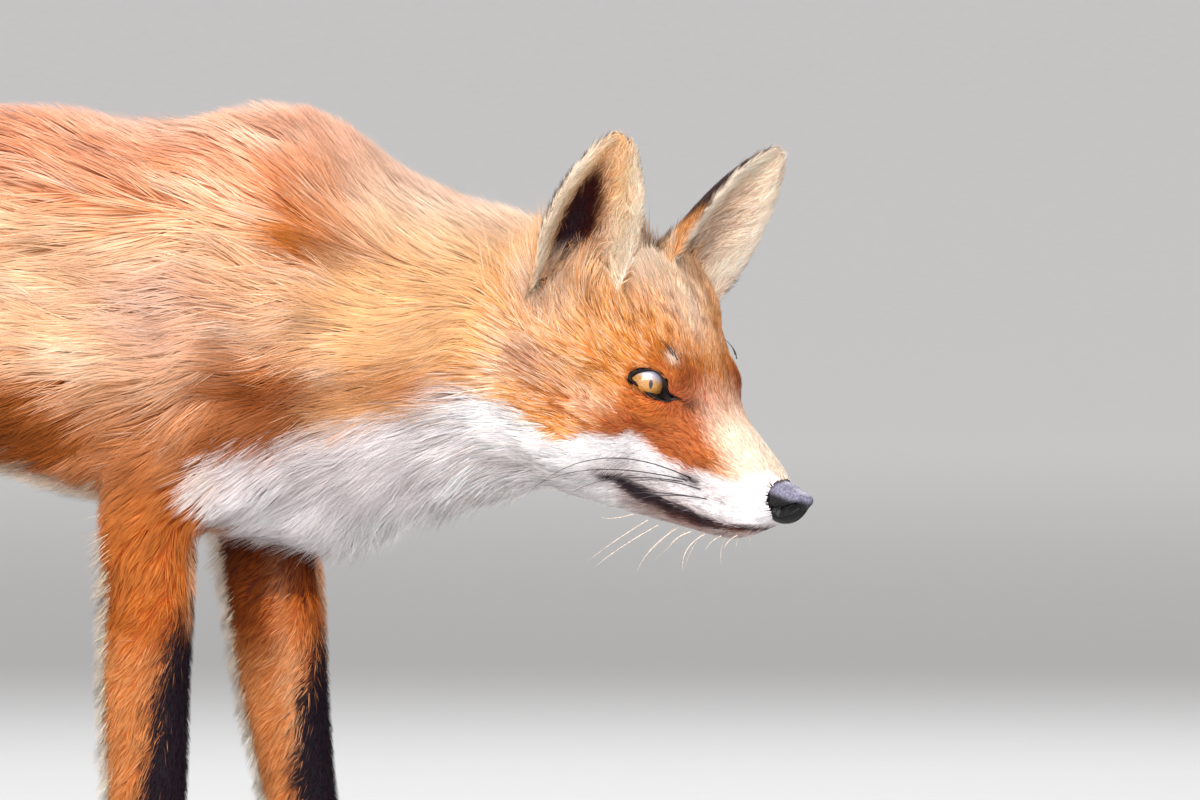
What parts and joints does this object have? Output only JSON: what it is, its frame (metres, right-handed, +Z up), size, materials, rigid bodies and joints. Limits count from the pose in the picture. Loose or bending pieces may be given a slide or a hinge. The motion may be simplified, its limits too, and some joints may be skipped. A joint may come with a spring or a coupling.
{
  "type": "red fox",
  "caption": "Standing red fox, head stretched low and turned a little to its right, lean summer coat, bushy tail hanging clear of the floor.",
  "frame": {"origin": "middle of the bounding box, at floor level under the paws", "axes": "+X forward along the body towards the head, +Y to the fox's left, +Z up"},
  "size_m": [0.8376, 0.1552, 0.3699],
  "materials": {
    "coat_orange": "soft fur",
    "coat_white": "soft fur",
    "coat_black": "short sleek fur",
    "nose_leather": "moist, finely pebbled",
    "eye_amber": "wet gloss"
  },
  "bodies": {
    "root": {"head": "coat_orange", "lower_jaw": "coat_white", "nose": "nose_leather", "ear_left": "coat_orange", "ear_right": "coat_orange", "eye_left": "eye_amber", "eye_right": "eye_amber", "neck": "coat_orange", "trunk": "coat_orange", "upper_arm_left": "coat_orange", "upper_arm_right": "coat_orange", "foreleg_left": "coat_orange", "foreleg_right": "coat_orange", "forepaw_left": "coat_black", "forepaw_right": "coat_black", "thigh_left": "coat_orange", "thigh_right": "coat_orange", "hindleg_left": "coat_orange", "hindleg_right": "coat_orange", "hindpaw_left": "coat_black", "hindpaw_right": "coat_black", "tail": "coat_orange", "tail_tip": "coat_white"}
  },
  "joints": []
}
